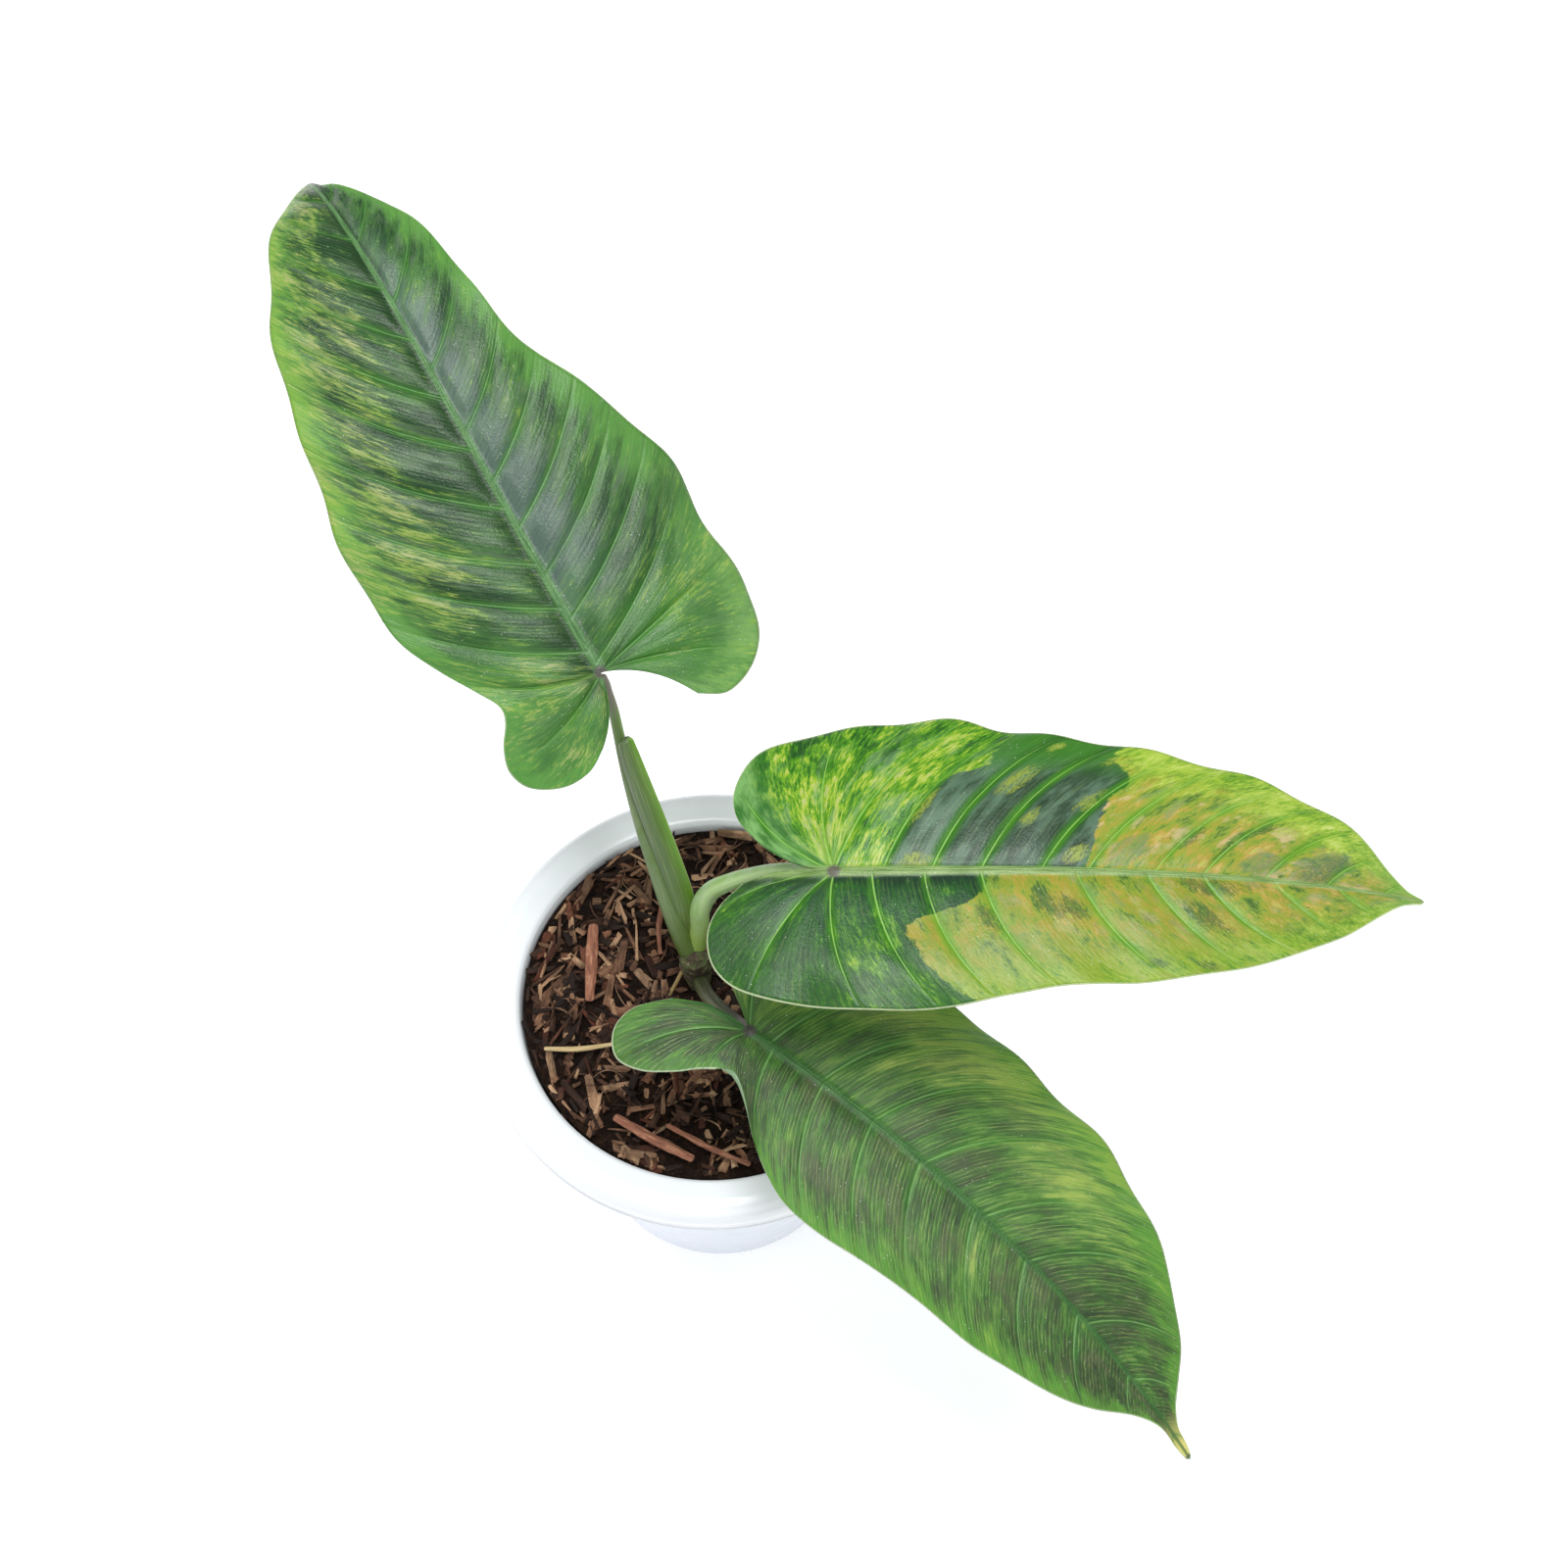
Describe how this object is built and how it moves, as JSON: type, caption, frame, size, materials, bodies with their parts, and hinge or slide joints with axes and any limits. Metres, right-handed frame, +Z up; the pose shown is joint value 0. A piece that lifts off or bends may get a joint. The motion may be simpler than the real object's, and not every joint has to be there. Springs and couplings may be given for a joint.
{
  "type": "potted variegated philodendron",
  "caption": "Young variegated philodendron with long spear-shaped, lobed leaves on arching stalks, rising from a short stem in a round white plastic pot of bark mix.",
  "frame": {"origin": "centre of the pot's flat base, on the surface it stands on", "axes": "+Z up along the pot's axis; +X towards the leaf that reaches out to the right in the picture; +Y away from the picture's camera"},
  "size_m": [0.3453, 0.3702, 0.2692],
  "materials": {
    "pot": "smooth glossy white",
    "potting_mix": "loose dark brown bark and fibre mix",
    "bark": "reddish brown fibrous bark",
    "straw": "pale dry stalk",
    "stem": "green stem with brown papery scars",
    "aerial_root": "pale tan root",
    "stalk": "olive to purplish grey-green, finely speckled",
    "sheath": "glossy olive green sheath",
    "leaf_upper": "glossy dark green with yellow-green marbling",
    "leaf_right": "glossy lime, ochre and dark green marbling",
    "leaf_lower": "glossy olive green with fine yellowish veinlets"
  },
  "bodies": {
    "root": {"pot": "pot", "potting_mix": "potting_mix", "bark_strip_long": "bark", "bark_strip_front": "bark", "bark_strip_thin": "bark", "bark_strip_back": "bark", "straw": "straw", "stem": "stem", "aerial_root": "aerial_root", "stalk_upper": "stalk", "stalk_lower": "stalk", "stalk_right": "stalk", "new_leaf_sheath": "sheath", "leaf_upper": "leaf_upper", "leaf_right": "leaf_right", "leaf_lower": "leaf_lower"}
  },
  "joints": []
}
